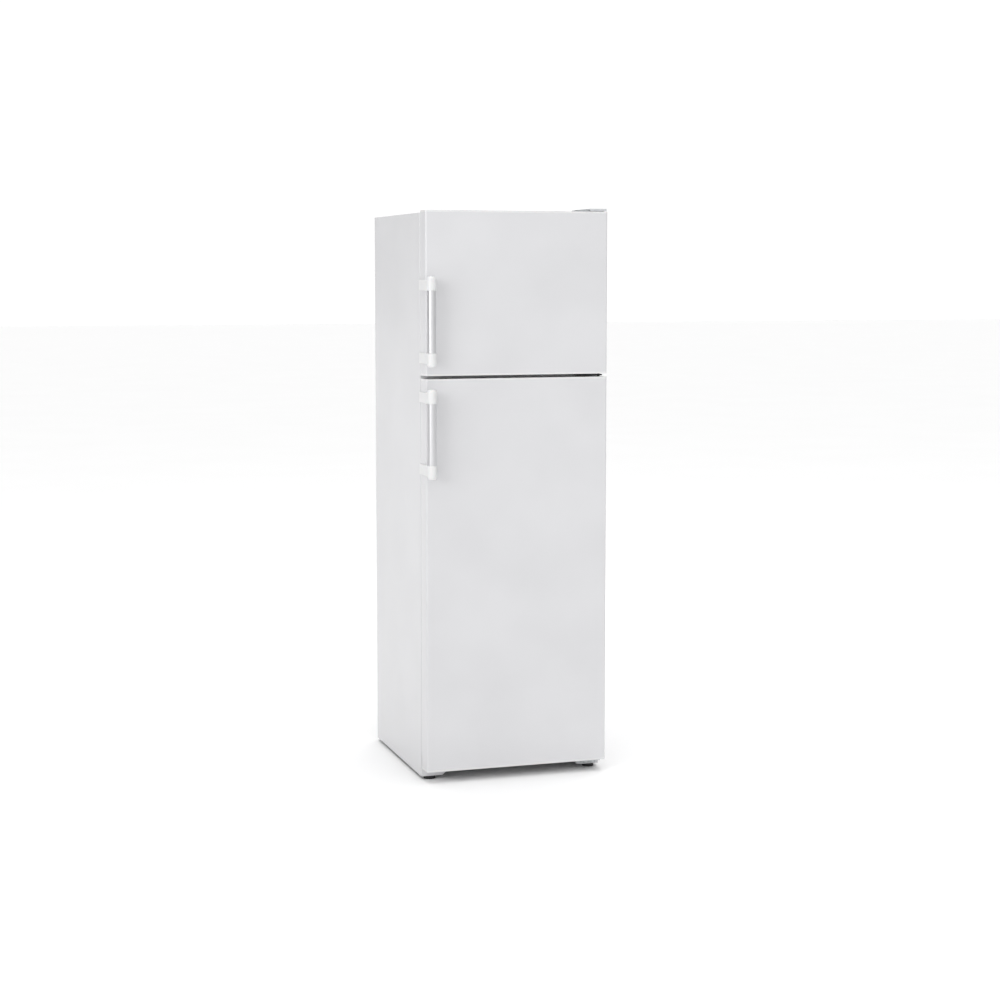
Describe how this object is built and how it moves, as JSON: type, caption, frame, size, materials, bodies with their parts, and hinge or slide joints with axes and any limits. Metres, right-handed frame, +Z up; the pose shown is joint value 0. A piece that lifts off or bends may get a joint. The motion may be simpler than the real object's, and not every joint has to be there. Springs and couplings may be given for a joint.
{
  "type": "top freezer refrigerator",
  "caption": "Tall free-standing refrigerator with a freezer above, two right-hinged doors, push-off bar handles, shelves, crispers and a rear condenser.",
  "frame": {"origin": "on the floor, in the middle of the footprint", "axes": "+Z up, -Y towards the front with the doors, +X to the right seen from the front, where the hinges are"},
  "size_m": [0.605, 0.69, 1.8137],
  "materials": {
    "white_steel": "gloss",
    "white_plastic": "satin",
    "liner_plastic": "gloss",
    "zinc_steel": "satin",
    "foam": "matte",
    "aluminium_sheet": "satin",
    "satin_aluminium": "satin",
    "shelf_glass": "polished",
    "clear_plastic": "gloss",
    "opal_plastic": "satin",
    "black_steel": "satin",
    "black_plastic": "matte",
    "black_rubber": "matte",
    "grey_plastic": "satin",
    "gasket_rubber": "matte",
    "copper_pipe": "satin",
    "back_sheet": "satin"
  },
  "bodies": {
    "cabinet": {"side_panels": "white_steel", "top_panel": "white_steel", "rear_panel": "back_sheet", "base_plinth": "white_steel", "base_frame": "zinc_steel", "divider_rail": "white_steel", "cabinet_insulation": "foam", "fridge_liner": "liner_plastic", "freezer_liner": "liner_plastic", "evaporators": "aluminium_sheet", "glass_shelves": "shelf_glass", "crisper_cover": "shelf_glass", "freezer_shelf": "shelf_glass", "shelf_trims": "white_plastic", "control_housing": "white_plastic", "lamp_cover": "opal_plastic", "compressor": "black_steel", "relay_box": "black_plastic", "compressor_mounts": "black_rubber", "compressor_tray": "zinc_steel", "refrigerant_pipes": "copper_pipe", "filter_drier": "copper_pipe", "condenser_coil": "black_steel", "condenser_wires": "black_steel", "drain_pan": "white_plastic", "cord_inlet": "black_plastic", "top_hinge": "zinc_steel", "hinge_cover": "grey_plastic", "middle_hinge": "black_steel", "bottom_hinge": "zinc_steel", "hinge_screws": "zinc_steel"},
    "left_crisper": {"left_crisper": "clear_plastic"},
    "right_crisper": {"right_crisper": "clear_plastic"},
    "thermostat_knob": {"thermostat_knob": "grey_plastic"},
    "front_left_foot": {"front_left_foot": "black_plastic"},
    "front_right_foot": {"front_right_foot": "black_plastic"},
    "rear_left_roller": {"rear_left_roller": "black_plastic"},
    "rear_right_roller": {"rear_right_roller": "black_plastic"},
    "freezer_door_bin": {"freezer_door_bin": "clear_plastic"},
    "upper_door_bin": {"upper_door_bin": "clear_plastic"},
    "middle_door_bin": {"middle_door_bin": "clear_plastic"},
    "bottle_bin": {"bottle_bin": "clear_plastic"},
    "freezer_door": {"freezer_door_panel": "white_steel", "freezer_door_caps": "white_plastic", "freezer_door_insulation": "foam", "freezer_door_liner": "liner_plastic", "freezer_door_gasket": "gasket_rubber", "freezer_handle_mounts": "white_plastic"},
    "freezer_grip": {"freezer_handle_ends": "white_plastic", "freezer_handle_tube": "satin_aluminium"},
    "freezer_plungers": {"freezer_handle_plungers": "grey_plastic"},
    "fridge_door": {"fridge_door_panel": "white_steel", "fridge_door_caps": "white_plastic", "fridge_door_insulation": "foam", "fridge_door_liner": "liner_plastic", "fridge_door_gasket": "gasket_rubber", "fridge_handle_mounts": "white_plastic"},
    "fridge_grip": {"fridge_handle_ends": "white_plastic", "fridge_handle_tube": "satin_aluminium"},
    "fridge_plungers": {"fridge_handle_plungers": "grey_plastic"}
  },
  "joints": [
    {"name": "freezer_door_hinge", "type": "hinge", "parent": "cabinet", "child": "freezer_door", "pos_m": [0.282, -0.265, 1.55], "axis": [0, 0, 1], "range_deg": [0, 115]},
    {"name": "freezer_handle_pull", "type": "slide", "parent": "freezer_door", "child": "freezer_grip", "axis": [0, -1, 0], "range_m": [0, 0.0055], "stiffness_N_per_m": 2000, "springref_m": -0.002},
    {"name": "freezer_plunger_push", "type": "slide", "parent": "freezer_door", "child": "freezer_plungers", "axis": [0, 1, 0], "range_m": [0, 0.0064]},
    {"name": "fridge_door_hinge", "type": "hinge", "parent": "cabinet", "child": "fridge_door", "pos_m": [0.282, -0.265, 0.66], "axis": [0, 0, 1], "range_deg": [0, 115]},
    {"name": "fridge_handle_pull", "type": "slide", "parent": "fridge_door", "child": "fridge_grip", "axis": [0, -1, 0], "range_m": [0, 0.0055], "stiffness_N_per_m": 2000, "springref_m": -0.002},
    {"name": "fridge_plunger_push", "type": "slide", "parent": "fridge_door", "child": "fridge_plungers", "axis": [0, 1, 0], "range_m": [0, 0.0064]},
    {"name": "left_crisper_slide", "type": "slide", "parent": "cabinet", "child": "left_crisper", "axis": [0, -1, 0], "range_m": [0, 0.045]},
    {"name": "right_crisper_slide", "type": "slide", "parent": "cabinet", "child": "right_crisper", "axis": [0, -1, 0], "range_m": [0, 0.045]},
    {"name": "thermostat_turn", "type": "hinge", "parent": "cabinet", "child": "thermostat_knob", "pos_m": [0.06, -0.1, 1.2274], "axis": [0, -1, 0], "range_deg": [0, 270]},
    {"name": "front_left_foot_screw", "type": "hinge", "parent": "cabinet", "child": "front_left_foot", "pos_m": [-0.27, -0.213, 0.02], "axis": [0, 0, 1], "continuous": true},
    {"name": "rear_left_roller_spin", "type": "hinge", "parent": "cabinet", "child": "rear_left_roller", "pos_m": [-0.27, 0.281, 0.015], "axis": [1, 0, 0], "continuous": true},
    {"name": "front_right_foot_screw", "type": "hinge", "parent": "cabinet", "child": "front_right_foot", "pos_m": [0.27, -0.213, 0.02], "axis": [0, 0, 1], "continuous": true},
    {"name": "rear_right_roller_spin", "type": "hinge", "parent": "cabinet", "child": "rear_right_roller", "pos_m": [0.27, 0.281, 0.015], "axis": [1, 0, 0], "continuous": true},
    {"name": "freezer_door_bin_lift", "type": "slide", "parent": "freezer_door", "child": "freezer_door_bin", "axis": [0, 0, 1], "range_m": [0, 0.02]},
    {"name": "upper_door_bin_lift", "type": "slide", "parent": "fridge_door", "child": "upper_door_bin", "axis": [0, 0, 1], "range_m": [0, 0.02]},
    {"name": "middle_door_bin_lift", "type": "slide", "parent": "fridge_door", "child": "middle_door_bin", "axis": [0, 0, 1], "range_m": [0, 0.02]},
    {"name": "bottle_bin_lift", "type": "slide", "parent": "fridge_door", "child": "bottle_bin", "axis": [0, 0, 1], "range_m": [0, 0.02]}
  ],
  "couplings": [
    {"joint": "freezer_plunger_push", "follows": "freezer_handle_pull", "ratio": 1.15},
    {"joint": "fridge_plunger_push", "follows": "fridge_handle_pull", "ratio": 1.15}
  ]
}
